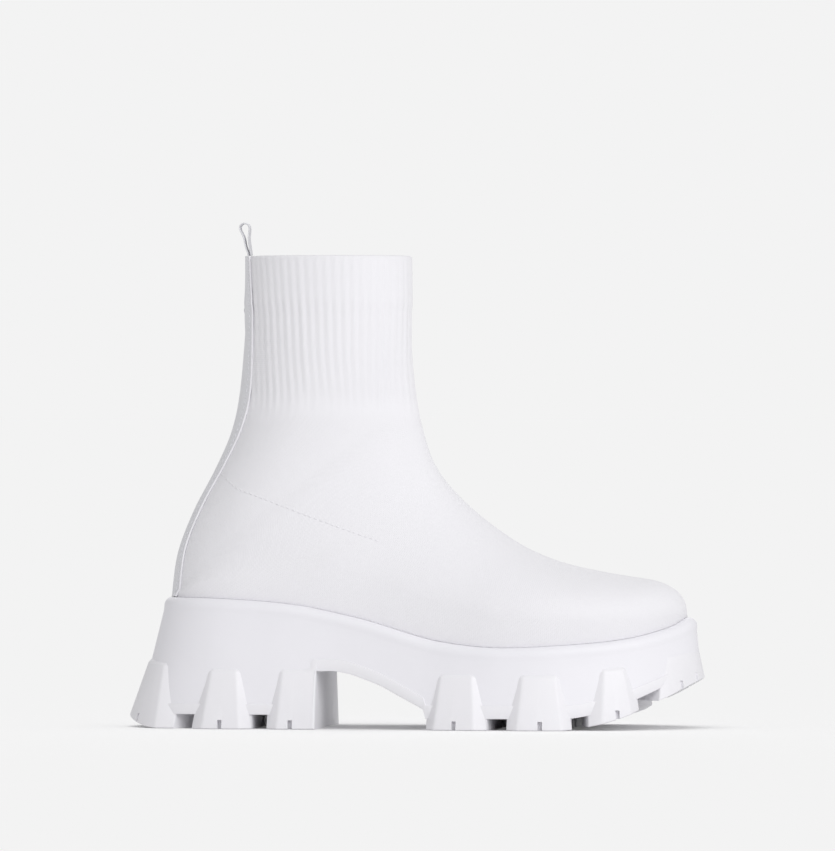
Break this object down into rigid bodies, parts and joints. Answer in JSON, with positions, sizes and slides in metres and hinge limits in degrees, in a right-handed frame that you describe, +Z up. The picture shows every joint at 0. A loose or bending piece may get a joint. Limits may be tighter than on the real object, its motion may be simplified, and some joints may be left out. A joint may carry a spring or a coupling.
{
  "type": "sock boot",
  "caption": "Knitted ankle-height sock boot with a ribbed cuff, a back stay with a pull loop and a thick cleated platform sole with a block heel.",
  "frame": {"origin": "centre of the boot's bounding box in plan, on the plane that it stands on", "axes": "+X towards the toe, +Y towards the inner (medial) side, +Z up"},
  "size_m": [0.2918, 0.1164, 0.2557],
  "materials": {
    "knit": "fine flat knit, ribbed at the cuff",
    "tape": "woven tape",
    "lining": "textile footbed",
    "foam": "matte moulded foam",
    "rubber": "matte moulded rubber"
  },
  "bodies": {
    "root": {"outsole": "rubber", "midsole": "foam", "insole": "lining", "upper": "knit", "heel_tape": "tape", "pull_loop": "tape"}
  },
  "joints": []
}
